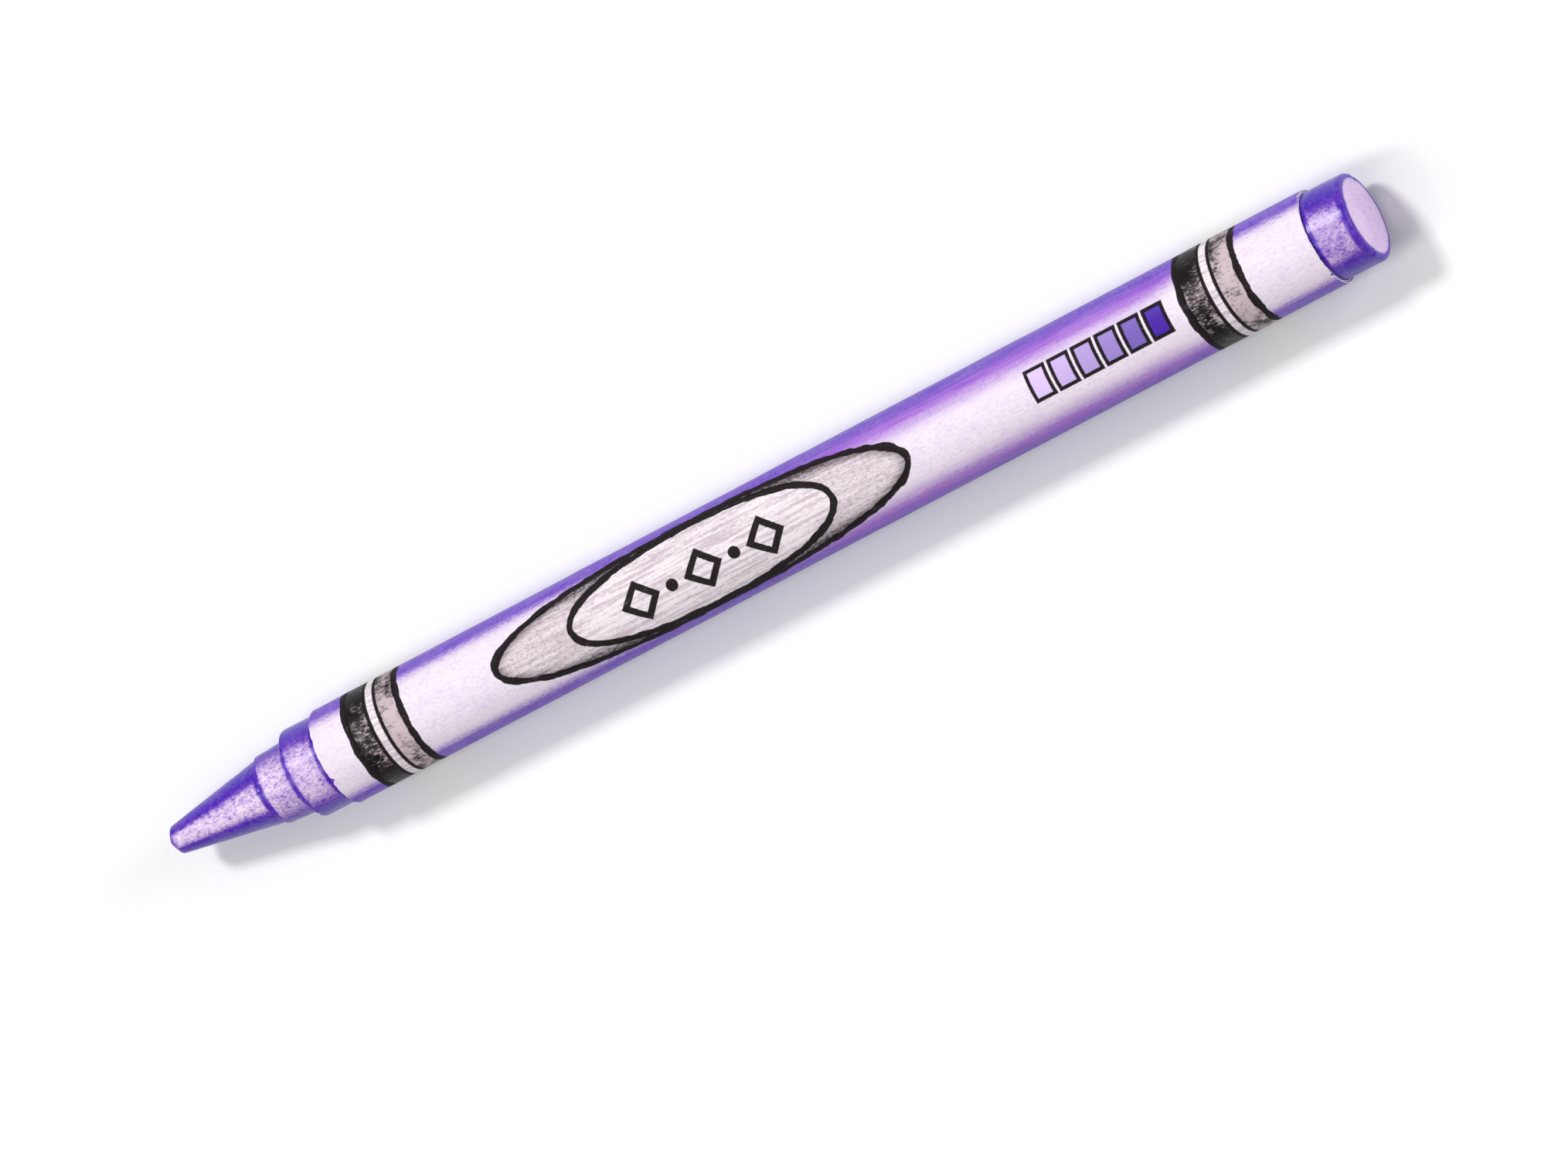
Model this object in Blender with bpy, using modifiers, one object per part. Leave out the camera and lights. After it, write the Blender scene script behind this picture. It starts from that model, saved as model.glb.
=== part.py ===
"""A wax crayon: a moulded wax stick with a paper label glued round it in two turns.

The crayon lies on its side along X, with its writing tip towards -X and its flat butt towards +X.
It rests on the flat that its label's lap seam leaves. The origin is under the middle of its length,
on the surface that it rests on.
All sizes are in metres. Along the crayon they are measured from the very tip.
"""

import math

import bmesh
import bpy

MM = 0.001

# Driving dimensions
LENGTH = 100.0 * MM
LABEL_RADIUS = 3.60 * MM  # outside of the label's second turn

NOSE_RADIUS = 1.05 * MM  # where the rounded nose meets the cone
NOSE_DEPTH = 0.38 * MM
CONE_END = 8.60 * MM
CONE_RADIUS = 2.46 * MM
NECK_END = 11.25 * MM
NECK_RADIUS_FRONT = 2.62 * MM
NECK_RADIUS_BACK = 2.78 * MM
EDGE_CHAMFER = 0.12 * MM  # on the moulded edges of cone, neck and shoulder
BUTT_EDGE_RADIUS = 0.35 * MM

LABEL_START = 14.00 * MM
LABEL_END = 96.75 * MM
PAPER = 0.08 * MM  # thickness of one layer of label paper
GLUE = 0.02 * MM  # thickness of the dried glue film
GAP = 0.01 * MM  # between the solids that touch on the real crayon
GLUE_MARGIN = 0.30 * MM  # the glue stops this far short of the paper's edges

# The round pieces share their facets, so that the gaps between them stay even.
# Angles start at straight down, towards +Y.
FACETS = 72
FACET_ANGLE = 2 * math.pi / FACETS
TURNS = 2
RAMP_FACETS = 3  # over these the taut paper runs straight, off its first turn and up onto its own inner edge
OPEN_FACETS = 3  # between the paper's outer edge and the foot of the ramp
INNER_EDGE_ANGLE = RAMP_FACETS * FACET_ANGLE  # so that the ramp starts straight down and lies flat

# Derived sizes
BOND = GLUE + 2 * GAP
LAYER = BOND + PAPER
WAX_RADIUS = LABEL_RADIUS - TURNS * LAYER
AXIS_HEIGHT = LABEL_RADIUS - LAYER  # the ramp's foot is on the paper's first turn
WRAP_FACETS = TURNS * FACETS - RAMP_FACETS - OPEN_FACETS

WAX_PURPLE = (0.13, 0.03, 0.52, 1.0)
PAPER_LILAC = (0.62, 0.50, 0.84, 1.0)
GLUE_AMBER = (0.80, 0.70, 0.50, 1.0)


def clear_scene():
    for obj in list(bpy.data.objects):
        bpy.data.objects.remove(obj)


def make_collection(name):
    collection = bpy.data.collections.new(name)
    bpy.context.scene.collection.children.link(collection)
    return collection


def make_material(name, colour, roughness):
    material = bpy.data.materials.new(name)
    material.use_nodes = True
    shader = material.node_tree.nodes["Principled BSDF"]
    shader.inputs["Base Color"].default_value = colour
    shader.inputs["Roughness"].default_value = roughness
    shader.inputs["Metallic"].default_value = 0.0
    return material


def make_axis(collection):
    """The crayon's centre line: its local Z runs from the tip to the butt, and its local X points down."""
    axis = bpy.data.objects.new("crayon_axis", None)
    axis.location = (-LENGTH / 2, 0.0, AXIS_HEIGHT)
    axis.rotation_euler = (0.0, math.pi / 2, 0.0)
    collection.objects.link(axis)
    return axis


def add_part(name, data, material, axis, collection):
    """A part in the axis's own frame, which parenting puts in place."""
    part = bpy.data.objects.new(name, data)
    data.materials.append(material)
    part.parent = axis
    collection.objects.link(part)
    return part


def arc(centre, radius, start, end, steps):
    """Points (distance from the axis, distance from the tip) along an arc.

    The angles are in degrees from straight outwards.
    """
    points = []
    for step in range(steps + 1):
        angle = math.radians(start + (end - start) * step / steps)
        points.append((centre[0] + radius * math.cos(angle), centre[1] + radius * math.sin(angle)))
    return points


def butt_profile():
    """From the middle of the flat butt, out and round its edge."""
    edge_centre = (WAX_RADIUS - BUTT_EDGE_RADIUS, LENGTH - BUTT_EDGE_RADIUS)
    return [(0.0, LENGTH)] + arc(edge_centre, BUTT_EDGE_RADIUS, 90, 0, 4)


def shoulder_profile():
    """The barrel's front edge, the step down to the neck, the neck, and the small step to the cone."""
    neck_front = CONE_END + EDGE_CHAMFER
    return [
        (WAX_RADIUS, NECK_END + EDGE_CHAMFER),
        (WAX_RADIUS - EDGE_CHAMFER, NECK_END),
        (NECK_RADIUS_BACK, NECK_END),
        (NECK_RADIUS_FRONT, neck_front),
        (CONE_RADIUS, CONE_END),
    ]


def nose_profile():
    """The nose, a shallow cap of a sphere, from the end of the cone to the very tip."""
    sphere = (NOSE_RADIUS**2 + NOSE_DEPTH**2) / (2 * NOSE_DEPTH)
    rim = -math.degrees(math.acos(NOSE_RADIUS / sphere))
    cap = arc((0.0, sphere), sphere, rim, -90, 5)
    return cap[:-1] + [(0.0, 0.0)]


def make_wax_stick(axis, collection):
    """One casting, turned about the axis, from the butt down its outer side to the tip."""
    profile = butt_profile() + shoulder_profile() + nose_profile()
    mesh = bpy.data.meshes.new("wax_stick")
    bm = bmesh.new()
    points = [bm.verts.new((radius, 0.0, along)) for radius, along in profile]
    for first, second in zip(points, points[1:]):
        bm.edges.new((first, second))
    bm.to_mesh(mesh)
    bm.free()
    stick = add_part("wax_stick", mesh, make_material("purple_wax", WAX_PURPLE, 0.38), axis, collection)
    screw = stick.modifiers.new("turn", "SCREW")
    screw.axis = "Z"
    screw.angle = 2 * math.pi
    screw.steps = FACETS
    screw.render_steps = FACETS
    screw.use_merge_vertices = True
    screw.merge_threshold = 0.01 * MM
    screw.use_smooth_shade = True
    return stick


def tangent_rise(facets):
    """How far a straight line has left a circle of radius 1 that it touches, after this many facets."""
    return 1 / math.cos(facets * FACET_ANGLE) - 1


def climb(facet):
    """How far the strip has risen above its first turn, after this many facets from its inner edge."""
    ramp = facet - (FACETS - RAMP_FACETS)
    ramp = min(max(ramp, 0), RAMP_FACETS)
    return LAYER * tangent_rise(ramp) / tangent_rise(RAMP_FACETS)


def wrap_path(first_radius, facets):
    """The strip's path round the axis, seen along the crayon, as points across the axis."""
    path = []
    for facet in range(facets + 1):
        angle = INNER_EDGE_ANGLE + facet * FACET_ANGLE
        radius = first_radius + climb(facet)
        path.append((radius * math.cos(angle), radius * math.sin(angle)))
    return path


def make_wrap(name, path, start, end, thickness, material, axis, collection):
    """A strip wound along the path: a ribbon of the strip's width, made solid to its thickness."""
    curve = bpy.data.curves.new(name, "CURVE")
    curve.dimensions = "2D"
    curve.fill_mode = "NONE"
    curve.extrude = (end - start) / 2
    spline = curve.splines.new("POLY")
    spline.points.add(len(path) - 1)
    for point, (across, side) in zip(spline.points, path):
        point.co = (across, side, 0.0, 1.0)
    wrap = add_part(name, curve, material, axis, collection)
    wrap.location = (0.0, 0.0, (start + end) / 2)
    solidify = wrap.modifiers.new("thickness", "SOLIDIFY")
    solidify.thickness = thickness
    solidify.offset = 0.0
    solidify.use_even_offset = True
    return wrap


def make_label_glue(axis, collection):
    """The glue film on the back of the paper: between wax and paper, and between the paper's two turns."""
    path = wrap_path(WAX_RADIUS + GAP + GLUE / 2, WRAP_FACETS - 1)
    start = LABEL_START + GLUE_MARGIN
    end = LABEL_END - GLUE_MARGIN
    material = make_material("dried_glue", GLUE_AMBER, 0.45)
    return make_wrap("label_glue", path, start, end, GLUE, material, axis, collection)


def make_paper_label(axis, collection):
    """The printed paper strip, wound twice so that the stick is harder to break."""
    path = wrap_path(WAX_RADIUS + BOND + PAPER / 2, WRAP_FACETS)
    material = make_material("label_paper", PAPER_LILAC, 0.80)
    return make_wrap("paper_label", path, LABEL_START, LABEL_END, PAPER, material, axis, collection)


def main():
    clear_scene()
    collection = make_collection("crayon")
    axis = make_axis(collection)
    make_wax_stick(axis, collection)
    make_label_glue(axis, collection)
    make_paper_label(axis, collection)


main()
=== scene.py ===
"""The looks of a wax crayon, built round its CAD model: a moulded wax stick in a printed paper label.

The crayon lies along X, with its tip towards -X. A "station" is a distance from the tip. Stations and other
sizes on the crayon are in millimetres. An angle round it that is written as a number is in degrees from its
top, positive towards -Y. An array called angle is in radians from straight down, positive towards +Y.
"""

import math

import bmesh
import bpy
import numpy as np
from mathutils import Matrix, Vector


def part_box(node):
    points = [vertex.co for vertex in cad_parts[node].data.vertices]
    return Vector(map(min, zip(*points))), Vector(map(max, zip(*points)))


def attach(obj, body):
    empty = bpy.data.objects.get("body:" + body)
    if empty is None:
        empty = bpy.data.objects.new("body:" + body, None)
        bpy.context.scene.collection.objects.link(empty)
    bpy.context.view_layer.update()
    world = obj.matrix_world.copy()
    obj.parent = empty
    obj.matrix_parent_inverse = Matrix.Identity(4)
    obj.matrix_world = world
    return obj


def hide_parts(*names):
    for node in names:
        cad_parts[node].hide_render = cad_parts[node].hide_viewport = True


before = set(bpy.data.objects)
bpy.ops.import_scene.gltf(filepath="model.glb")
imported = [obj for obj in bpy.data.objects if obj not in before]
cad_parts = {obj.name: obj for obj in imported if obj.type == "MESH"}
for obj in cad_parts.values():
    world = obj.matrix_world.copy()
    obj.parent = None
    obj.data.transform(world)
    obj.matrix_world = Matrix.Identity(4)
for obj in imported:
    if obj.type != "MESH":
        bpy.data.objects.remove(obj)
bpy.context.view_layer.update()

MM = 0.001

# Where the CAD pieces are
WAX_LOW, WAX_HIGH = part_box("wax_stick")
LABEL_LOW, LABEL_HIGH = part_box("paper_label")
TIP_X = WAX_LOW.x
LENGTH = (WAX_HIGH.x - WAX_LOW.x) / MM
WAX_RADIUS = (WAX_HIGH.y - WAX_LOW.y) / 2 / MM
AXIS_Z = (WAX_HIGH.z + WAX_LOW.z) / 2
LABEL_RADIUS = (LABEL_HIGH.y - LABEL_LOW.y) / 2 / MM
LABEL_START = (LABEL_LOW.x - TIP_X) / MM
LABEL_END = (LABEL_HIGH.x - TIP_X) / MM

# Sizes that repeat part.py's
CONE_END = 8.60
CONE_RADIUS = 2.46
NECK_END = 11.25
NECK_RADIUS_FRONT = 2.62
NECK_RADIUS_BACK = 2.78
PAPER = 0.08
LAYER = (LABEL_RADIUS - WAX_RADIUS) / 2
RAMP = 15.0  # degrees over which the paper climbs onto its own inner edge
WRAP = 690.0  # degrees that the paper strip goes round


# ---------------------------------------------------------------- shapes


def to_world(station, radius, angle):
    """World points from stations, radii and angles."""
    x = TIP_X + station * MM
    y = radius * MM * np.sin(angle)
    z = AXIS_Z - radius * MM * np.cos(angle)
    return np.stack(np.broadcast_arrays(x, y, z), axis=-1)


def smooth(low, high, value):
    """Goes smoothly from 0 to 1 as value goes from low to high."""
    share = np.clip((value - low) / (high - low), 0, 1)
    return share * share * (3 - 2 * share)


def waves(station, angle, seed, count, along, around):
    """A smooth, closed random pattern between about -1 and 1, from a few sine waves.

    along is the shortest wave along the crayon, and around is the most waves round it.
    """
    rng = np.random.default_rng(seed)
    total = np.zeros(np.broadcast_shapes(station.shape, angle.shape))
    for _ in range(count):
        pace = rng.uniform(-1, 1) * 2 * math.pi / along
        turns = rng.integers(-around, around + 1)
        total = total + np.sin(pace * station + turns * angle + rng.uniform(0, 2 * math.pi))
    return total / math.sqrt(count)


def angle_from(angle, degrees):
    """How far an angle is from one given in degrees from the top, in radians between -pi and pi."""
    return np.mod(angle - math.radians(180 + degrees) + math.pi, 2 * math.pi) - math.pi


def make_grid(name, points, closed):
    """A mesh from an array of rows and columns of points. closed joins the last column to the first."""
    rows, columns = points.shape[:2]
    row, column = np.meshgrid(np.arange(rows - 1), np.arange(columns - 1 + closed), indexing="ij")
    after = (column + 1) % columns
    here, above = row * columns, (row + 1) * columns
    quads = np.stack([here + column, here + after, above + after, above + column], axis=-1)
    mesh = bpy.data.meshes.new(name)
    mesh.from_pydata(points.reshape(-1, 3).tolist(), [], quads.reshape(-1, 4).tolist())
    return mesh


def set_attribute(mesh, name, kind, values):
    attribute = mesh.attributes.new(name, kind, "POINT")
    key = "vector" if kind == "FLOAT_VECTOR" else "value"
    attribute.data.foreach_set(key, np.asarray(values, dtype=np.float32).ravel())


def add_piece(name, mesh, material, node):
    piece = bpy.data.objects.new(name, mesh)
    mesh.materials.append(material)
    mesh.shade_smooth()
    bpy.context.scene.collection.objects.link(piece)
    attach(piece, "root")
    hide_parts(node)
    return piece


# ---------------------------------------------------------------- shader building


def srgb(red, green, blue):
    """A linear colour from 8-bit display values."""

    def linear(value):
        value /= 255
        return value / 12.92 if value <= 0.04045 else ((value + 0.055) / 1.055) ** 2.4

    return (linear(red), linear(green), linear(blue))


class Shader:
    """Builds one material's nodes from short expressions. Values are numbers, colours or node outputs."""

    def __init__(self, name):
        self.material = bpy.data.materials.new(name)
        self.material.use_nodes = True
        self.tree = self.material.node_tree
        self.principled = self.tree.nodes["Principled BSDF"]

    def node(self, kind, inputs=(), **settings):
        made = self.tree.nodes.new(kind)
        for key, value in settings.items():
            setattr(made, key, value)
        for key, value in dict(inputs).items():
            self.feed(made.inputs[key], value)
        return made

    def feed(self, socket, value):
        if isinstance(value, bpy.types.NodeSocket):
            self.tree.links.new(value, socket)
        elif isinstance(value, tuple) and len(value) == 3 and socket.type == "RGBA":
            socket.default_value = (*value, 1.0)
        else:
            socket.default_value = value

    def set(self, **values):
        """Sets the Principled BSDF's sockets, named with underscores for spaces."""
        for key, value in values.items():
            self.feed(self.principled.inputs[key.replace("_", " ")], value)

    def math(self, operation, first, second=0.0, third=0.0):
        made = self.node("ShaderNodeMath", operation=operation)
        for socket, value in zip(made.inputs, (first, second, third)):
            self.feed(socket, value)
        return made.outputs[0]

    def total(self, first, *others):
        for other in others:
            first = self.math("ADD", first, other)
        return first

    def product(self, first, *others):
        for other in others:
            first = self.math("MULTIPLY", first, other)
        return first

    def difference(self, first, second):
        return self.math("SUBTRACT", first, second)

    def absolute(self, value):
        return self.math("ABSOLUTE", value)

    def larger(self, first, second):
        return self.math("MAXIMUM", first, second)

    def linear(self, value, slope, start):
        """start where value is 0, rising by slope for each 1 of value."""
        return self.math("MULTIPLY_ADD", value, slope, start)

    def ramp(self, value, low, high, start=0.0, end=1.0):
        """Goes smoothly from start to end as value goes from low to high."""
        made = self.node(
            "ShaderNodeMapRange",
            {"Value": value, "From Min": low, "From Max": high, "To Min": start, "To Max": end},
            interpolation_type="SMOOTHSTEP",
        )
        return made.outputs["Result"]

    def inside(self, distance, softness):
        """1 where a distance is below zero, 0 where it is above, with a soft edge."""
        return self.ramp(distance, -softness, softness, 1.0, 0.0)

    def mix(self, share, first, second):
        made = self.node("ShaderNodeMix", data_type="RGBA")
        first_colour, second_colour, mixed_colour = made.inputs[6], made.inputs[7], made.outputs[2]
        self.feed(made.inputs["Factor"], share)
        self.feed(first_colour, first)
        self.feed(second_colour, second)
        return mixed_colour

    def attribute(self, name):
        return self.node("ShaderNodeAttribute", attribute_name=name)

    def scaled(self, vector, scale):
        return self.node("ShaderNodeVectorMath", {0: vector, 1: scale}, operation="MULTIPLY").outputs[0]

    def place(self):
        """Where a point is in its object's own space, in millimetres."""
        where = self.node("ShaderNodeTexCoord").outputs["Object"]
        return self.scaled(where, (1 / MM, 1 / MM, 1 / MM))

    def noise(self, vector, scale, detail, roughness, distortion=0.0):
        inputs = {
            "Vector": vector,
            "Scale": scale,
            "Detail": detail,
            "Roughness": roughness,
            "Distortion": distortion,
        }
        return self.node("ShaderNodeTexNoise", inputs).outputs["Fac"]

    def bump(self, height, distance, strength, before=None):
        """Relief. distance is how far, in metres, a height of 1 stands out."""
        made = self.node("ShaderNodeBump", {"Height": height, "Distance": distance, "Strength": strength})
        if before is not None:
            self.feed(made.inputs["Normal"], before)
        return made.outputs[0]


# ---------------------------------------------------------------- wax stick

SEGMENTS = 256  # round the wax
NOSE_CORNER = 0.98  # radius of the nose's corner, before it is rounded and worn
AXIS_RING = 0.02  # radius of the first and last rings, which close_ends draws together
ROUNDING_POINTS = 9
FINE_ROWS, COARSE_ROWS = 0.11, 4.0  # spacing of the rings where the wax shows, and under the label
HIDDEN_FROM, HIDDEN_TO = LABEL_START + 0.6, LABEL_END - 0.6  # the wax that the label always covers
BROAD_UNEVEN, FINE_UNEVEN = 0.018, 0.006  # height of the cast surface's slow and quick waves
BUTT_SINK, BUTT_SINK_RADIUS, BUTT_UNEVEN = 0.05, 2.2, 0.010

# Dents knocked into the wax: station, angle, depth and width
DENTS = [
    (NECK_END + 0.10, -38, 0.14, 0.42),
    (NECK_END + 0.05, 64, 0.10, 0.30),
    (NECK_END + 0.95, 18, 0.035, 0.55),
    (CONE_END + 0.05, -12, 0.07, 0.26),
    (5.20, 30, 0.03, 0.50),
    (3.10, -46, 0.025, 0.35),
    (LENGTH - 0.05, -28, 0.12, 0.38),
    (LENGTH - 0.10, 52, 0.09, 0.30),
    (LENGTH - 0.05, -118, 0.10, 0.36),
    (LENGTH - 1.70, 8, 0.03, 0.60),
]
DENT_SHARPNESS = 2.5
DENT_LEAST_RADIUS = 0.6  # nearer the axis than this, distances round it are measured as if at this radius

# Planes that writing has worn the nose against: which way each faces, and how far it is from NOSE_CENTRE
NOSE_CENTRE = 0.98  # a station on the axis
WORN_PLANES = [
    ((-0.94, 0.30, 0.14), 0.85),
    ((-0.84, -0.40, 0.36), 0.97),
    ((-0.74, 0.20, -0.64), 0.96),
]
WORN_SOFTNESS = 0.14
WORN_TO = 2.2  # the wear reaches no further back than this station

# A pale painted highlight lies along the top of the wax, and deep violet painted shade down its sides
WAX_HIGHLIGHT_MIDDLE = 2  # degrees from the top
WAX_HIGHLIGHT_FULL, WAX_HIGHLIGHT_NONE = 0.32, 0.88  # radians from its middle where it starts to thin, and where it ends
CONE_NARROWER, NECK_WIDER, RING_WIDER = 0.26, 0.32, 0.16
# Corners darkened with painted shade, and how far from each the painted highlight is whole again
PAINTED_SHADE_CORNERS = [(CONE_END, 0.40), (NECK_END, 0.44), (LABEL_START, 0.48), (LABEL_END, 0.50)]
CORNER_SHADE_HALF_WIDTH = 0.14
# How much painted shade the rings beside the label have at the least, and how much the nose and the butt's
# edge have
FRONT_RING_SHADE, BUTT_RING_SHADE, NOSE_SHADE, BUTT_EDGE_SHADE = 0.12, 0.28, 0.8, 0.9
SCRAPED_PALER = 0.6  # how much of that a scraped place loses


def rounded_outline(corners, spacing):
    """Points along a path through corners, no further apart than spacing, a function of the station, says.

    A corner is (station, radius, rounding), and its rounding is the length cut off each side of it.
    """
    points = []
    for index, (station, radius, rounding) in enumerate(corners):
        here = np.array([station, radius])
        if rounding == 0:
            points.append(here)
            continue
        before = np.array(corners[index - 1][:2]) - here
        after = np.array(corners[index + 1][:2]) - here
        enter = here + before / np.linalg.norm(before) * rounding
        leave = here + after / np.linalg.norm(after) * rounding
        for share in np.linspace(0, 1, ROUNDING_POINTS):
            points.append((1 - share) ** 2 * enter + 2 * share * (1 - share) * here + share**2 * leave)
    filled = [points[0]]
    for start, end in zip(points, points[1:]):
        steps = max(1, math.ceil(np.linalg.norm(end - start) / spacing((start[0] + end[0]) / 2)))
        filled += [start + (end - start) * step / steps for step in range(1, steps + 1)]
    return np.array(filled)


def wax_spacing(station):
    return COARSE_ROWS if HIDDEN_FROM < station < HIDDEN_TO else FINE_ROWS


def wax_outline():
    """The moulded outline from the middle of the nose to the middle of the butt."""
    corners = [
        (0.0, AXIS_RING, 0),
        (0.0, NOSE_CORNER, 0.72),
        (CONE_END, CONE_RADIUS, 0.05),
        (CONE_END + 0.05, NECK_RADIUS_FRONT, 0.07),
        (NECK_END, NECK_RADIUS_BACK, 0.10),
        (NECK_END + 0.02, WAX_RADIUS, 0.16),
        (HIDDEN_FROM, WAX_RADIUS, 0),
        (HIDDEN_TO, WAX_RADIUS, 0),
        (LENGTH, WAX_RADIUS, 0.38),
        (LENGTH, AXIS_RING, 0),
    ]
    return rounded_outline(corners, wax_spacing)


def dents_at(station, radius, angle):
    """How deep the dents are at points on the wax."""
    depth = np.zeros(np.broadcast_shapes(station.shape, angle.shape))
    for at, around, deep, wide in DENTS:
        apart = np.hypot(station - at, angle_from(angle, around) * np.maximum(radius, DENT_LEAST_RADIUS))
        depth = depth + deep * np.exp(-((apart / wide) ** 2) * DENT_SHARPNESS)
    return depth


def wear_tip(points):
    """Flattens the nose against the worn planes, with soft edges between them."""
    centre = np.array([TIP_X + NOSE_CENTRE * MM, 0.0, AXIS_Z])
    at_tip = points[..., 0] < TIP_X + WORN_TO * MM
    soft = WORN_SOFTNESS * MM
    for direction, reach in WORN_PLANES:
        normal = np.array(Vector(direction).normalized())
        out = (points - centre) @ normal - reach * MM
        push = np.where(out > -soft, (out + soft) ** 2 / (4 * soft), 0)
        push = np.where(out > soft, out, push)
        points = points - (push * at_tip)[..., None] * normal
    return points


def where_painted_shade(station, radius, angle):
    """Where painted shade darkens the wax and keeps its painted highlight off: down the sides, in and beside
    corners, on the worn nose and on the butt's edge.
    """
    on_cone = 1 - smooth(CONE_END - 0.1, CONE_END, station)
    on_neck = smooth(CONE_END, CONE_END + 0.1, station) * (1 - smooth(2.80, 3.0, radius))
    past_label_start = smooth(LABEL_START, LABEL_START + 0.4, station)
    on_front_ring = smooth(NECK_END, NECK_END + 0.1, station) * (1 - past_label_start)
    on_butt_ring = smooth(LABEL_END, LABEL_END + 0.1, station)
    on_butt_edge = smooth(LENGTH - 0.72, LENGTH - 0.42, station) * smooth(2.72, 2.92, radius)
    on_nose = 1 - smooth(0.2, 1.0, station)
    narrower = 1 + CONE_NARROWER * on_cone - NECK_WIDER * on_neck - RING_WIDER * on_front_ring
    painted_shade = smooth(WAX_HIGHLIGHT_FULL, WAX_HIGHLIGHT_NONE, np.abs(angle_from(angle, WAX_HIGHLIGHT_MIDDLE)) * narrower)
    for corner, reach in PAINTED_SHADE_CORNERS:
        painted_shade = np.maximum(painted_shade, 1 - smooth(CORNER_SHADE_HALF_WIDTH, reach, np.abs(station - corner)))
    painted_shade = np.maximum(painted_shade, FRONT_RING_SHADE * on_front_ring + BUTT_RING_SHADE * on_butt_ring)
    return np.maximum(painted_shade, np.maximum(BUTT_EDGE_SHADE * on_butt_edge, NOSE_SHADE * on_nose))


def sink_butt(points, station, radius, angle):
    """The butt was scraped level, and its middle sank a little as the wax cooled."""
    on_butt = smooth(LENGTH - 0.02, LENGTH, station + 0 * angle)
    share = np.clip(radius / WAX_RADIUS, 0, 1)
    uneven = BUTT_UNEVEN * waves(radius, angle, seed=7, count=20, along=3.0, around=3) * share
    sink = BUTT_SINK * (1 - smooth(0.0, BUTT_SINK_RADIUS, radius)) + uneven
    points[..., 0] -= np.clip(on_butt * sink, 0, None) * MM


def make_wax():
    outline = wax_outline()
    station, radius = outline[:, :1], outline[:, 1:]
    angle = np.linspace(0, 2 * math.pi, SEGMENTS, endpoint=False)[None, :]
    before_label_end = 1 - smooth(LABEL_END, LABEL_END + 0.4, station)
    bare = 1 - smooth(LABEL_START - 0.4, LABEL_START, station) * before_label_end
    broad = BROAD_UNEVEN * waves(station, angle, seed=3, count=24, along=3.0, around=5)
    fine = FINE_UNEVEN * waves(station, angle, seed=4, count=30, along=0.8, around=16)
    share = np.clip(radius / WAX_RADIUS, 0, 1)
    change = (broad + fine) * share - dents_at(station, radius, angle)
    off_axis = np.minimum(share * 1.5, 1)
    moved = radius + bare * change * off_axis
    points = to_world(station, moved, angle)
    sink_butt(points, station, radius, angle)
    points = wear_tip(points)
    mesh = make_grid("wax_stick_cast", points, closed=True)
    within_edge = 1 - smooth(WAX_RADIUS - 0.60, WAX_RADIUS - 0.38, radius)
    scraped = smooth(LENGTH - 0.06, LENGTH, station) * within_edge
    set_attribute(mesh, "scraped", "FLOAT", np.broadcast_to(scraped, moved.shape))
    # the mask of painted shade: sides, corners, nose and the butt's edge, with less of it on the scraped butt
    painted_shade = where_painted_shade(station, radius, angle) * (1 - SCRAPED_PALER * scraped)
    set_attribute(mesh, "painted_shade", "FLOAT", np.broadcast_to(painted_shade, moved.shape))
    close_ends(mesh, outline.shape[0])
    return add_piece("wax_stick_cast", mesh, wax_material(), "wax_stick")


def close_ends(mesh, rows):
    """Draws the first and last rows, which are small rings round the axis, together into points."""
    bm = bmesh.new()
    bm.from_mesh(mesh)
    bm.verts.ensure_lookup_table()
    rings = [[bm.verts[row * SEGMENTS + i] for i in range(SEGMENTS)] for row in (0, rows - 1)]
    for ring in rings:
        middle = sum((vert.co for vert in ring), Vector()) / SEGMENTS
        bmesh.ops.pointmerge(bm, verts=ring, merge_co=middle)
    bmesh.ops.recalc_face_normals(bm, faces=bm.faces)
    bm.to_mesh(mesh)
    bm.free()


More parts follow.
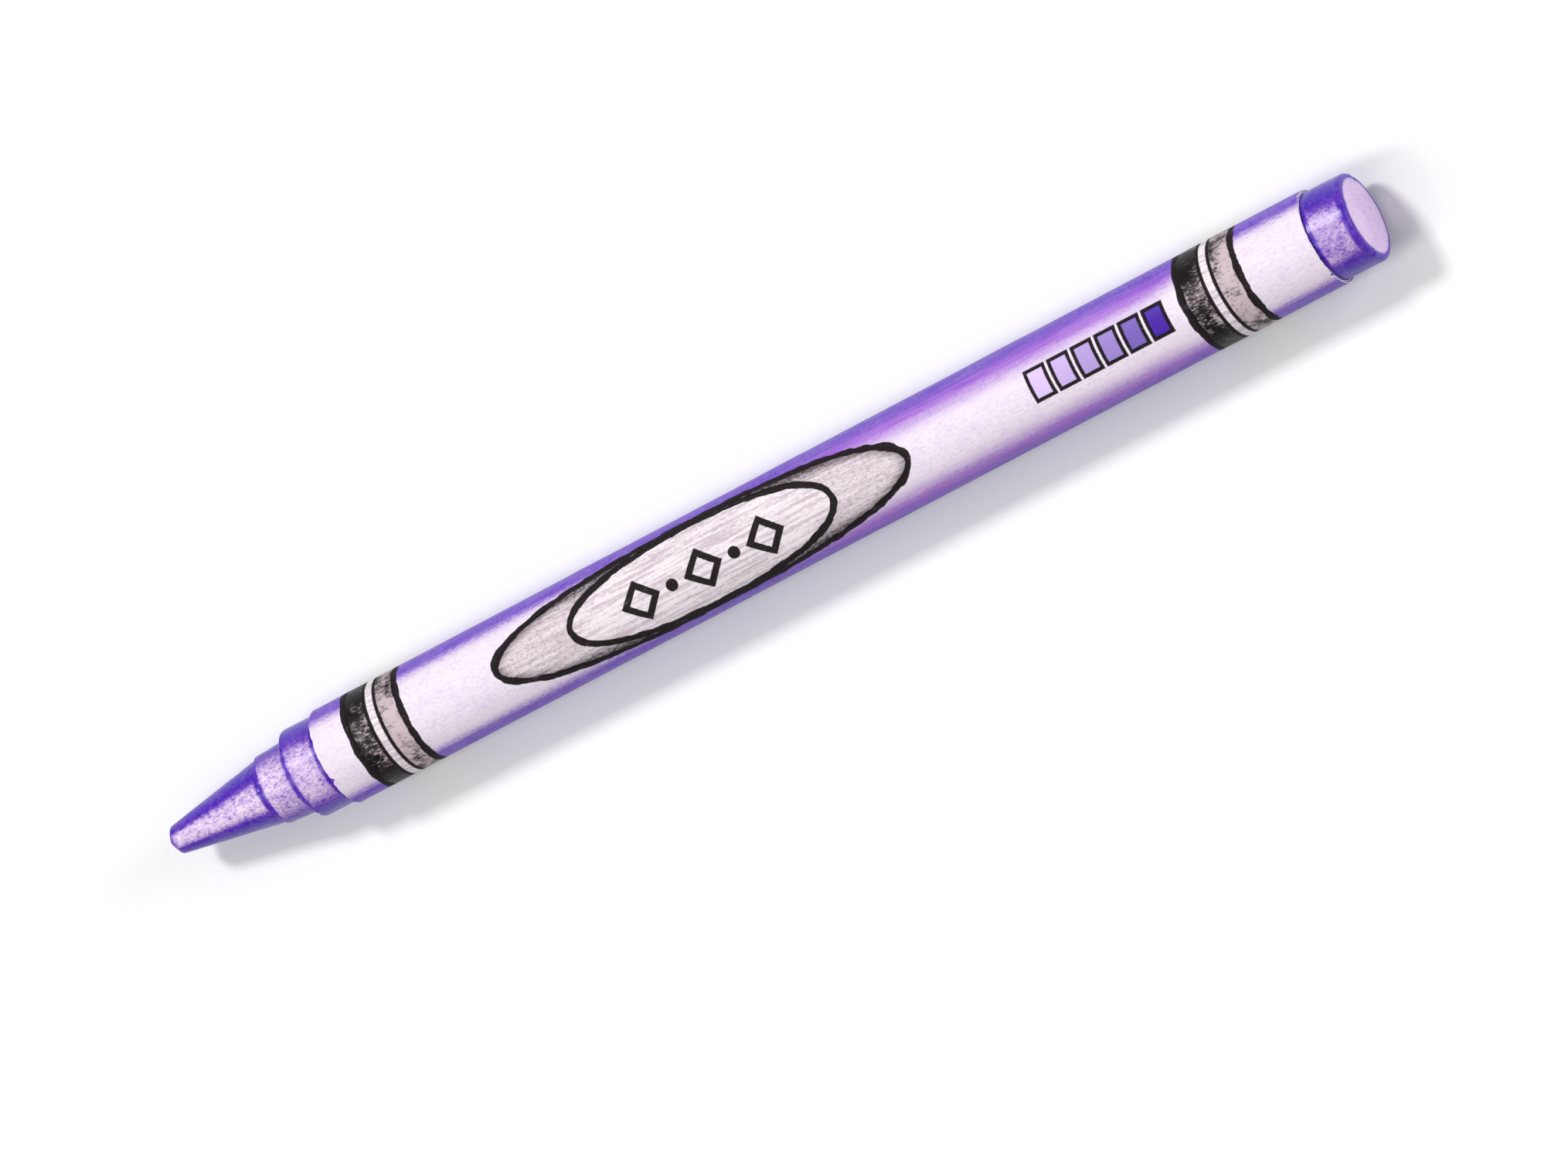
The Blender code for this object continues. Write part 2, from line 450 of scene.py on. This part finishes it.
def wax_material():
    """Dyed paraffin: satin, slightly see-through, violet, with a pale speckled painted highlight along its top
    and deeper painted shade down its sides and in its corners.
    """
    s = Shader("purple_wax_cast")
    place = s.place()
    cloud = s.noise(place, 0.5, 2.0, 0.5)
    blot = s.noise(place, 2.2, 4.0, 0.6, 0.3)
    speck = s.noise(s.scaled(place, (3.4, 6.0, 6.0)), 1.0, 4.0, 0.72)
    drag = s.noise(s.scaled(place, (0.35, 7.0, 7.0)), 1.0, 3.0, 0.6)
    shade = s.total(s.product(cloud, 0.20), s.product(blot, 0.25), s.product(speck, 0.55))

    # deep violet painted shade down the sides, in corners, on the nose and round the butt's edge, and a pale
    # painted highlight in the specks elsewhere
    painted_shade = s.product(s.attribute("painted_shade").outputs["Fac"], s.ramp(shade, 0.38, 0.64, 1.0, 0.74))
    # painted highlight: pale specks along the top, where the painted shade is weak
    painted_highlight = s.product(s.ramp(shade, 0.32, 0.62), s.ramp(painted_shade, 0.0, 0.75, 0.90, 0.0))
    colour = s.mix(s.ramp(shade, 0.36, 0.64), srgb(118, 54, 188), srgb(164, 110, 202))
    colour = s.mix(painted_highlight, colour, srgb(236, 220, 234))
    colour = s.mix(s.product(painted_shade, 0.96), colour, srgb(48, 4, 164))
    colour = s.mix(s.product(s.ramp(speck, 0.44, 0.32), 0.40), colour, srgb(64, 18, 160))

    # the scraped butt
    uneven = s.product(s.ramp(speck, 0.34, 0.60, 0.55, 0.95), s.ramp(blot, 0.25, 0.55, 0.80, 1.0))
    scraped = s.product(s.attribute("scraped").outputs["Fac"], uneven)
    colour = s.mix(scraped, colour, srgb(226, 202, 234))

    # drag lines from the mould under a fine grain
    relief = s.bump(drag, 0.012 * MM, 0.6)
    relief = s.bump(s.noise(place, 14.0, 4.0, 0.7), 0.010 * MM, 0.5, relief)
    rough = s.total(0.22, s.product(painted_highlight, 0.10), s.product(speck, 0.06), s.product(scraped, 0.2))
    s.set(Base_Color=colour, Roughness=rough, Normal=relief)
    s.set(Subsurface_Weight=0.15, Subsurface_Scale=0.5 * MM, Subsurface_Radius=(0.8, 0.35, 1.0))
    s.set(IOR=1.44, Specular_IOR_Level=0.42)
    return s.material


# ---------------------------------------------------------------- paper label's shape
# "turned" is how far a point is along the strip, in degrees round the crayon from the strip's inner edge

COARSE_TURN, FINE_TURN, FINE_FROM = 6.0, 1.25, 330  # the strip's columns are closer together past FINE_FROM
EDGE_ZONE, MIDDLE_ROWS = 3.0, 56  # its rows are closer together within EDGE_ZONE of its edges
OUTER_TURN_FROM, OUTER_TURN_WHOLE = 350, 372  # turned, where the paper may start to lift, and may fully
TOP_OF_OUTER_TURN = 540 - RAMP

# Notches in the strip's cut edges: turned, depth, and width in degrees
FRONT_NOTCHES = [(412, 0.16, 2.2), (547, 0.26, 2.6), (604, 0.12, 1.6)]
BACK_NOTCHES = [(458, 0.14, 2.0), (571, 0.20, 2.4)]
FRAY = 0.007
FRAY_REACH = 1.2  # how far into the paper the points move with its worn edge
OFF_SQUARE = 0.07  # how far the edges run off square along the strip

BLISTER, EDGE_LIFT = 0.016, 0.022  # how high the glued paper stands off in blisters and along its cut edges
EDGE_LIFT_REACH = 0.55
FLOOR_NEAR, FLOOR_CLEAR = 20, 45  # degrees from straight down, likewise


def wrap_radius(turned):
    """The radius of the middle of the paper."""
    ramp = np.radians(np.clip(turned - (360 - RAMP), 0, RAMP))
    full = 1 / math.cos(math.radians(RAMP)) - 1
    climb = LAYER * (1 / np.cos(ramp) - 1) / full
    return LABEL_RADIUS - LAYER - PAPER / 2 + climb


def label_stations():
    """Rows across the strip: close together near its cut edges, where the paper frays and lifts."""
    width = LABEL_END - LABEL_START
    edge = np.concatenate([np.arange(0, 1.0, 0.07), np.arange(1.0, EDGE_ZONE, 0.25)])
    middle = np.linspace(EDGE_ZONE, width - EDGE_ZONE, MIDDLE_ROWS)
    return LABEL_START + np.concatenate([edge, middle, (width - edge)[::-1]])


def frayed(turned, seed, notches):
    """How far a cut edge of the strip is worn back."""
    rng = np.random.default_rng(seed)
    worn = np.zeros(turned.shape)
    for pace in rng.uniform(3, 45, 12):
        worn = worn + FRAY * np.sin(np.radians(turned) * pace + rng.uniform(0, 2 * math.pi))
    for at, deep, wide in notches:
        worn = worn + deep * np.exp(-(((turned - at) / wide) ** 2))
    return worn


def worn_stations(station, turned):
    """Where the strip's points are. Handling has worn its edges, and it was not wound quite square."""
    front = frayed(turned, 11, FRONT_NOTCHES) + OFF_SQUARE * turned / WRAP
    back = frayed(turned, 12, BACK_NOTCHES) + OFF_SQUARE * (1 - turned / WRAP)
    at_front = 1 - smooth(0, FRAY_REACH, station - LABEL_START)
    at_back = 1 - smooth(0, FRAY_REACH, LABEL_END - station)
    return station + front * at_front - back * at_back


def paper_lift(station, turned, angle):
    """How far the glued outer turn stands off the turn below: in low blisters and along its cut edges."""
    blister_waves = waves(station, angle, seed=21, count=26, along=5.0, around=7)
    lift = BLISTER * np.clip(blister_waves - 0.5, 0, None)
    for seed, from_edge in ((22, station - LABEL_START), (23, LABEL_END - station)):
        patches = 0.5 + 0.5 * waves(station, angle, seed=seed, count=10, along=900, around=6)
        at_edge = 1 - smooth(0, EDGE_LIFT_REACH, from_edge)
        lift = lift + EDGE_LIFT * np.clip(at_edge * patches, 0, 1.4)
    outer_turn = smooth(OUTER_TURN_FROM, OUTER_TURN_WHOLE, turned)
    from_down = np.abs(np.mod(np.degrees(angle) + 180, 360) - 180)
    return outer_turn * lift * smooth(FLOOR_NEAR, FLOOR_CLEAR, from_down)


def paper_sides(station, middle, angle):
    """World points on the paper's outer and inner sides, at right angles to the way the paper runs."""
    across = middle * np.sin(angle)
    down = -middle * np.cos(angle)
    run_across = np.gradient(across, axis=1)
    run_down = np.gradient(down, axis=1)
    length = np.hypot(run_across, run_down)
    out_across, out_down = -run_down / length, run_across / length
    flip = np.sign(out_across * across + out_down * down)
    sides = []
    for side in (1, -1):
        y = across + side * flip * out_across * PAPER / 2
        z = down + side * flip * out_down * PAPER / 2
        sides.append(np.stack([TIP_X + station * MM + 0 * y, y * MM, AXIS_Z + z * MM], -1))
    return sides


def unrolled(station, turned):
    """Each point's place on the unrolled strip: its station, how far round from the top it is, and its side.

    The side is 1 on the outside of the paper and 0 on the inside.
    """
    around = np.radians(turned - TOP_OF_OUTER_TURN) * LABEL_RADIUS
    outside = np.stack([station + 0 * around, around + 0 * station, np.ones(station.shape) + 0 * around], -1)
    inside = outside[::-1].copy()
    inside[..., 2] = 0
    return np.concatenate([outside, inside, outside[:1]], axis=0)


def make_label():
    coarse, fine = np.arange(0, FINE_FROM, COARSE_TURN), np.arange(FINE_FROM, WRAP, FINE_TURN)
    turned = np.concatenate([coarse, fine, [WRAP]])[None, :]
    station = label_stations()[:, None]
    angle = np.radians(RAMP + turned)
    worn = worn_stations(station, turned)
    middle = wrap_radius(turned) + paper_lift(station, turned, angle)
    outer, inner = paper_sides(worn, middle, angle)
    points = np.concatenate([outer, inner[::-1], outer[:1]], axis=0)
    mesh = make_grid("paper_label_wound", points, closed=False)
    set_attribute(mesh, "strip", "FLOAT_VECTOR", unrolled(worn, turned))
    close_strip(mesh, *outer.shape[:2])
    return add_piece("paper_label_wound", mesh, label_material(), "paper_label")


def close_strip(mesh, rows, columns):
    """Joins the last row to the first, and fills the strip's inner and outer cut edges."""
    bm = bmesh.new()
    bm.from_mesh(mesh)
    bm.verts.ensure_lookup_table()
    for end in (0, columns - 1):
        for row in range(rows - 1):
            corners = [row, row + 1, 2 * rows - 2 - row, 2 * rows - 1 - row]
            bm.faces.new([bm.verts[corner * columns + end] for corner in corners])
    bmesh.ops.remove_doubles(bm, verts=bm.verts, dist=0.0005 * MM)
    bmesh.ops.recalc_face_normals(bm, faces=bm.faces)
    bm.to_mesh(mesh)
    bm.free()


# ---------------------------------------------------------------- paper label's print
# Places on the label are stations and distances round the barrel from its top, positive towards -Y

BANDS = [(16.9, 21.2), (86.45, 91.1)]
BAND_MARGIN = 0.8  # a band's tone goes from dark to pale between these margins
RING_HALF_WIDTH = 0.42  # the pale ring in the middle of a band
PANEL = {"centre": 46.0, "long": 17.2, "wide": 3.62}  # half its length and half its width
PLATE = {"centre": 46.0, "long": 10.9, "wide": 3.28}
MARKS_CENTRE, MARKS_AROUND, MARKS_PITCH = 46.0, 0.30, 5.2
DIAMOND_REACH = 1.25  # from its middle to its corners
DOT_RADIUS = 0.46
SWATCHES_START, SWATCHES_AROUND, SWATCH_PITCH, SWATCH_COUNT = 73.4, -0.24, 1.95, 6
SWATCH_HALF_LONG, SWATCH_HALF_TALL = 0.74, 1.10

OUTLINE = 0.52  # mean width of the outlines of the panel, the plate and the bands
DIAMOND_LINE = 0.50
THIN_LINE = 0.28
LINE_SOFTNESS = 0.035
EDGE_SOFTNESS = 0.03
ROW_SOFTNESS = 0.02

# A painted highlight makes the label pale lilac in a stripe along its top, and painted shade makes its sides
# deep purple. Measured from the stripe's middle: where it is whole and where it ends, and where the deep
# purple of the sides starts and is whole
LABEL_HIGHLIGHT_MIDDLE = 0.40
LABEL_HIGHLIGHT_WHOLE, LABEL_HIGHLIGHT_END = 1.2, 3.3
SIDE_SHADE_START, SIDE_SHADE_WHOLE = 2.9, 4.4
STIPPLED = 2.4  # how far the stipple breaks up these edges

# The painted highlight along the top is wider towards the label's ends, past the second station of each pair
WIDE_HIGHLIGHT_FRONT = (60.0, 46.0)
WIDE_HIGHLIGHT_BACK = (82.0, 92.0)
# What is added there to the middle, to where the stripe is whole and ends, and to where the sides start
WIDE_HIGHLIGHT_MIDDLE, WIDE_HIGHLIGHT_WHOLE, WIDE_HIGHLIGHT_END, WIDE_HIGHLIGHT_SHADE = -0.30, 1.35, 0.45, -0.5

WAVER_ALONG, WAVER_AROUND = 0.09, -0.07  # how much the print's edges waver


class LabelShader(Shader):
    """The label's shader: a point's place on the strip, the noises that paper and print share, and the print.

    colour is what the paper and its print look like so far, and lines is where the black lines are.
    """

    def __init__(self, name):
        super().__init__(name)
        self.strip = self.attribute("strip").outputs["Vector"]
        waver = self.difference(self.strip_noise((6.0, 6.0), 3.0, 0.6), 0.5)
        place = self.node("ShaderNodeSeparateXYZ", {0: self.strip})
        self.x = self.linear(waver, WAVER_ALONG, place.outputs[0])
        self.around = self.linear(waver, WAVER_AROUND, place.outputs[1])
        self.outside = self.ramp(place.outputs[2], 0.93, 0.99)
        self.streak = self.strip_noise((0.22, 3.6), 4.0, 0.62, 0.3)
        self.mottle = self.strip_noise((0.9, 0.9), 5.0, 0.65)
        self.fibre = self.strip_noise((9.0, 26.0), 4.0, 0.7, 1.2)
        self.grain = self.strip_noise((24.0, 24.0), 3.0, 0.6)
        self.stipple = self.strip_noise((2.6, 6.5), 5.0, 0.72, 0.4)
        # where the painted highlight along the top is wider, and how far each point is from the highlight's
        # middle
        self.wide_highlight = self.larger(self.ramp(self.x, *WIDE_HIGHLIGHT_FRONT), self.ramp(self.x, *WIDE_HIGHLIGHT_BACK))
        highlight_middle = self.linear(self.wide_highlight, WIDE_HIGHLIGHT_MIDDLE, LABEL_HIGHLIGHT_MIDDLE)
        off_top = self.absolute(self.difference(place.outputs[1], highlight_middle))
        self.off_top = self.total(off_top, self.linear(self.stipple, STIPPLED, -STIPPLED / 2))
        pen = self.strip_noise((0.7, 0.7), 2.0, 0.5)
        self.outline = self.ramp(pen, 0.3, 0.7, OUTLINE * 0.75, OUTLINE * 1.3)
        self.colour = None
        self.lines = None

    def strip_noise(self, scale, detail, roughness, distortion=0.0):
        """A noise over the unrolled strip, with a scale along the crayon and one round it."""
        return self.noise(self.scaled(self.strip, (*scale, 0.0)), 1.0, detail, roughness, distortion)

    def stroke(self, distance, width):
        """A printed line of a width along an edge."""
        return self.inside(self.linear(width, -0.5, self.absolute(distance)), LINE_SOFTNESS)

    def fill(self, distance, colour, within=None):
        """Prints a colour where a distance is below zero."""
        share = self.inside(distance, EDGE_SOFTNESS)
        if within is not None:
            share = self.product(share, within)
        self.colour = self.mix(share, self.colour, colour)

    def draw(self, line):
        self.lines = line if self.lines is None else self.larger(self.lines, line)


def ellipse_distance(s, shape):
    """Distance outside an ellipse that is centred on the top of the barrel, near its edge.

    The small added numbers keep the roots and the division sound at the ellipse's centre.
    """
    u = s.math("DIVIDE", s.difference(s.x, shape["centre"]), shape["long"])
    v = s.math("DIVIDE", s.around, shape["wide"])
    size = s.math("SQRT", s.total(s.product(u, u), s.product(v, v), 1e-6))
    gu = s.math("DIVIDE", u, shape["long"])
    gv = s.math("DIVIDE", v, shape["wide"])
    slope = s.math("SQRT", s.total(s.product(gu, gu), s.product(gv, gv), 1e-9))
    return s.math("DIVIDE", s.product(s.difference(size, 1.0), size), slope)


def paper_tint(s):
    """Purple paper, pale lilac along the top with a painted highlight and deep violet down the sides with
    painted shade, stippled and streaked.
    """
    highlight_end, highlight_whole = s.linear(s.wide_highlight, WIDE_HIGHLIGHT_END, LABEL_HIGHLIGHT_END), s.linear(s.wide_highlight, WIDE_HIGHLIGHT_WHOLE, LABEL_HIGHLIGHT_WHOLE)
    shade_start, shade_whole = s.linear(s.wide_highlight, WIDE_HIGHLIGHT_SHADE, SIDE_SHADE_START), s.linear(s.wide_highlight, WIDE_HIGHLIGHT_SHADE, SIDE_SHADE_WHOLE)
    # painted highlight along the top and painted shade down the sides
    painted_top_highlight = s.ramp(s.off_top, highlight_end, highlight_whole)
    painted_side_shade = s.ramp(s.off_top, shade_start, shade_whole)
    tint = s.mix(painted_side_shade, srgb(156, 88, 200), srgb(72, 12, 176))
    tint = s.mix(painted_top_highlight, tint, srgb(226, 215, 226))
    light_stipple = s.mix(painted_top_highlight, srgb(156, 100, 214), srgb(242, 235, 242))
    tint = s.mix(s.product(s.ramp(s.stipple, 0.46, 0.60), 0.45), tint, light_stipple)
    dark_stipple = s.mix(painted_top_highlight, srgb(84, 30, 176), srgb(190, 156, 218))
    tint = s.mix(s.product(s.ramp(s.stipple, 0.48, 0.36), 0.40), tint, dark_stipple)
    streaks = s.product(s.ramp(s.streak, 0.30, 0.70), s.total(s.product(painted_top_highlight, 0.30), 0.12))
    tint = s.mix(streaks, tint, srgb(236, 224, 238))
    tint = s.mix(s.product(s.ramp(s.mottle, 0.45, 0.75), 0.18), tint, srgb(176, 138, 216))
    return s.mix(s.product(s.ramp(s.grain, 0.5, 0.72), 0.16), tint, srgb(226, 212, 238))


def hatched_white(s):
    hatching = s.total(s.product(s.streak, 0.6), s.product(s.stipple, 0.4))
    return s.mix(s.ramp(hatching, 0.42, 0.56), srgb(196, 180, 190), srgb(232, 224, 229))


def panel_grey(s, panel, plate):
    """Streaky grey, darker towards the panel's edge, and most where the plate's edge leaves the panel's."""
    grey = s.mix(s.ramp(s.streak, 0.3, 0.7), srgb(198, 184, 192), srgb(230, 220, 226))
    grey = s.mix(s.product(s.ramp(s.stipple, 0.52, 0.38), 0.55), grey, srgb(138, 122, 130))
    at_edge = s.product(s.ramp(panel, -1.1, -0.1), s.ramp(s.streak, 0.7, 0.35, 0.4, 0.9))
    grey = s.mix(at_edge, grey, srgb(88, 74, 80))
    in_corner = s.ramp(s.linear(panel, -2.5, plate), 4.2, 1.2)
    in_corner = s.product(in_corner, s.ramp(s.stipple, 0.60, 0.42, 0.40, 1.0))
    return s.mix(in_corner, grey, srgb(44, 33, 38))


def print_panel(s, panel, white):
    """A grey oval that holds a white one."""
    plate = ellipse_distance(s, PLATE)
    s.fill(panel, panel_grey(s, panel, plate))
    s.fill(plate, white)
    s.draw(s.stroke(panel, s.outline))
    s.draw(s.stroke(plate, s.outline))


def print_marks(s):
    """A row of three diamonds with dots between them."""
    across = s.difference(s.around, MARKS_AROUND)
    from_centre = s.difference(s.x, MARKS_CENTRE)
    along = s.math("WRAP", from_centre, MARKS_PITCH / 2, -MARKS_PITCH / 2)
    diamond_row = s.inside(s.difference(s.absolute(from_centre), MARKS_PITCH * 1.4), ROW_SOFTNESS)
    reach = s.total(s.absolute(along), s.absolute(across))
    diamond = s.product(s.difference(reach, DIAMOND_REACH), math.sqrt(0.5))
    s.draw(s.product(s.stroke(diamond, DIAMOND_LINE), diamond_row))
    between = s.difference(s.absolute(along), MARKS_PITCH / 2)
    from_dot = s.math("SQRT", s.total(s.product(between, between), s.product(across, across)))
    dot_row = s.inside(s.difference(s.absolute(from_centre), MARKS_PITCH), ROW_SOFTNESS)
    s.draw(s.product(s.inside(s.difference(from_dot, DOT_RADIUS), LINE_SOFTNESS), dot_row))


def print_band(s, start, end, white):
    """A band that is dark at its front and grey at its back, darker down the barrel's sides with painted
    shade, ruled at its edges, with a plain pale ring.
    """
    off_middle = s.absolute(s.difference(s.x, (start + end) / 2))
    band = s.difference(off_middle, (end - start) / 2)
    ring = s.difference(off_middle, RING_HALF_WIDTH)
    tone = s.total(s.product(s.mottle, 0.40), s.product(s.stipple, 0.40), s.product(s.grain, 0.20))
    along_band = s.ramp(s.x, start + BAND_MARGIN, end - BAND_MARGIN, -0.060, 0.045)
    # painted shade: the band's tone darkens down the barrel's sides and is a little paler along its top
    side_shade = s.ramp(s.off_top, 1.6, 3.6, 0.010, -0.050)
    tone = s.ramp(s.total(tone, along_band, side_shade), 0.44, 0.56)
    s.fill(band, s.mix(tone, srgb(12, 6, 8), srgb(196, 178, 184)))
    s.draw(s.stroke(band, s.outline))
    s.fill(ring, white)
    s.draw(s.stroke(ring, THIN_LINE))


def print_swatches(s):
    """A row of small boxes, from pale to deep purple."""
    from_first = s.difference(s.x, SWATCHES_START)
    index = s.math("FLOOR", s.math("DIVIDE", from_first, SWATCH_PITCH))
    past_start = s.math("GREATER_THAN", from_first, 0.0)
    in_row = s.product(past_start, s.math("LESS_THAN", from_first, SWATCH_PITCH * SWATCH_COUNT))
    off_middle = s.absolute(s.difference(s.math("MODULO", from_first, SWATCH_PITCH), SWATCH_PITCH / 2))
    long = s.difference(off_middle, SWATCH_HALF_LONG)
    tall = s.difference(s.absolute(s.difference(s.around, SWATCHES_AROUND)), SWATCH_HALF_TALL)
    box = s.larger(long, tall)
    depth = s.math("DIVIDE", index, SWATCH_COUNT - 1.0)
    s.fill(box, s.mix(depth, srgb(214, 190, 238), srgb(66, 22, 158)), in_row)
    s.draw(s.product(s.stroke(box, THIN_LINE), in_row))


def label_material():
    """Uncoated purple paper with a painted highlight along its top and painted shade down its sides, scuffed,
    printed in black and grey, with white edges.
    """
    s = LabelShader("label_paper_printed")
    s.colour = paper_tint(s)
    white = hatched_white(s)
    panel = ellipse_distance(s, PANEL)
    print_panel(s, panel, white)
    print_marks(s)
    for start, end in BANDS:
        print_band(s, start, end, white)
    print_swatches(s)

    # ink sits unevenly on the fibres, and handling has scuffed it
    ink = s.mix(s.ramp(s.grain, 0.35, 0.75), srgb(10, 5, 7), srgb(34, 23, 27))
    lines = s.product(s.lines, s.ramp(s.grain, 0.28, 0.44, 0.78, 1.0))
    colour = s.mix(lines, s.colour, ink)
    scuff = s.product(s.ramp(s.strip_noise((0.5, 2.4), 6.0, 0.75, 0.6), 0.60, 0.74), 0.55)
    colour = s.mix(s.product(scuff, s.ramp(s.fibre, 0.4, 0.7)), colour, srgb(236, 226, 240))
    colour = s.mix(s.outside, srgb(240, 234, 238), colour)

    # the print is duller than the paper
    printed = s.larger(s.inside(panel, EDGE_SOFTNESS), lines)
    rough = s.total(s.ramp(s.streak, 0.3, 0.7, 0.36, 0.44), s.product(printed, 0.34))
    rough = s.total(rough, s.product(scuff, 0.15), s.product(s.fibre, 0.06))
    relief = s.bump(s.fibre, 0.010 * MM, 0.55)
    relief = s.bump(s.mottle, 0.020 * MM, 0.4, relief)
    s.set(Base_Color=colour, Roughness=rough, Normal=relief)
    s.set(IOR=1.46, Specular_IOR_Level=0.18, Sheen_Weight=0.01, Sheen_Roughness=0.5)
    return s.material


# ---------------------------------------------------------------- glue


def glue_material():
    """Dried starch paste: thin, amber, blotched where it dried thicker."""
    s = Shader("dried_glue_film")
    blot = s.noise(s.place(), 1.2, 4.0, 0.6)
    colour = s.mix(s.ramp(blot, 0.35, 0.65), srgb(206, 188, 150), srgb(232, 222, 200))
    s.set(Base_Color=colour, Roughness=s.ramp(blot, 0.3, 0.7, 0.35, 0.6), Normal=s.bump(blot, 0.01 * MM, 0.5))
    s.set(IOR=1.5)
    return s.material


def dress_glue():
    """The glue film keeps its CAD solid."""
    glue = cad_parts["label_glue"]
    glue.data.materials.clear()
    glue.data.materials.append(glue_material())


# ---------------------------------------------------------------- stage

FLOOR_HALF = 12.0  # metres

# The camera looks down from over the butt end, through a long lens
CAMERA_LEAN = 20.4  # degrees from straight across the crayon towards its butt
CRAYON_SLOPE = 27.72  # degrees that the crayon climbs to the right in the picture
LENS = 800.0
SENSOR = 36.0
FIELD = 109.0 * MM  # how much of the crayon's middle plane the picture is wide
MIDDLE_RIGHT, MIDDLE_UP = -1.34 * MM, 3.00 * MM  # the crayon's middle from the picture's


def floor_material():
    s = Shader("pale_floor")
    tooth = s.noise(s.place(), 1.5, 3.0, 0.6)
    s.set(Base_Color=s.mix(tooth, (0.86, 0.86, 0.865), (0.90, 0.90, 0.90)), Roughness=0.85)
    s.set(Specular_IOR_Level=0.2)
    return s.material


def make_floor():
    mesh = bpy.data.meshes.new("floor")
    corners = [(x * FLOOR_HALF, y * FLOOR_HALF, 0) for x, y in ((-1, -1), (1, -1), (1, 1), (-1, 1))]
    mesh.from_pydata(corners, [], [(0, 1, 2, 3)])
    floor = bpy.data.objects.new("floor", mesh)
    mesh.materials.append(floor_material())
    bpy.context.scene.collection.objects.link(floor)


def make_camera():
    lean = math.radians(CAMERA_LEAN)
    back = Vector((math.sin(lean), 0, math.cos(lean)))
    along = (Vector((1, 0, 0)) - back * math.sin(lean)).normalized()
    right = Matrix.Rotation(-math.radians(CRAYON_SLOPE), 3, back) @ along
    up = back.cross(right)
    middle = Vector((TIP_X + LENGTH / 2 * MM, 0, AXIS_Z))
    data = bpy.data.cameras.new("camera")
    data.lens, data.sensor_width = LENS, SENSOR
    distance = FIELD * LENS / SENSOR
    data.clip_start, data.clip_end = distance * 0.2, distance * 20
    camera = bpy.data.objects.new("camera", data)
    camera.location = middle - right * MIDDLE_RIGHT - up * MIDDLE_UP + back * distance
    camera.rotation_mode = "QUATERNION"
    camera.rotation_quaternion = Matrix((right, up, back)).transposed().to_quaternion()
    bpy.context.scene.collection.objects.link(camera)
    bpy.context.scene.camera = camera


def aim(lamp, direction):
    """Turns a lamp so that it shines against a direction, towards the crayon."""
    lamp.rotation_mode = "QUATERNION"
    lamp.rotation_quaternion = Vector(direction).to_track_quat("Z", "Y")
    bpy.context.scene.collection.objects.link(lamp)


def add_sun(name, direction, strength, spread):
    data = bpy.data.lights.new(name, "SUN")
    data.energy = strength
    data.angle = math.radians(spread)
    aim(bpy.data.objects.new(name, data), direction)


def add_soft_light(name, place, size, power):
    """A rectangular lamp that the camera doesn't see."""
    data = bpy.data.lights.new(name, "AREA")
    data.shape = "RECTANGLE"
    data.size, data.size_y = size
    data.energy = power
    lamp = bpy.data.objects.new(name, data)
    lamp.location = place
    lamp.visible_camera = False
    aim(lamp, place)


def light_scene():
    """A sun from the +Y side, three soft lamps and a dim white sky."""
    add_sun("key", (-0.30, 0.54, 0.79), 1.7, 10)
    add_soft_light("overhead", (-0.21, -0.08, 0.56), (0.12, 0.31), 0.80)
    add_soft_light("tip_side", (-0.42, 0.0, 0.50), (0.09, 0.30), 0.85)
    add_soft_light("butt_side", (0.50, 0.06, 0.22), (0.24, 0.24), 1.2)
    world = bpy.data.worlds.new("studio")
    bpy.context.scene.world = world
    world.use_nodes = True
    background = world.node_tree.nodes["Background"]
    background.inputs["Color"].default_value = (1.0, 1.0, 1.0, 1.0)
    background.inputs["Strength"].default_value = 0.26
    scene = bpy.context.scene
    scene.view_settings.view_transform = "Standard"
    scene.view_settings.look = "None"


make_camera()
make_floor()
light_scene()
make_wax()
make_label()
dress_glue()
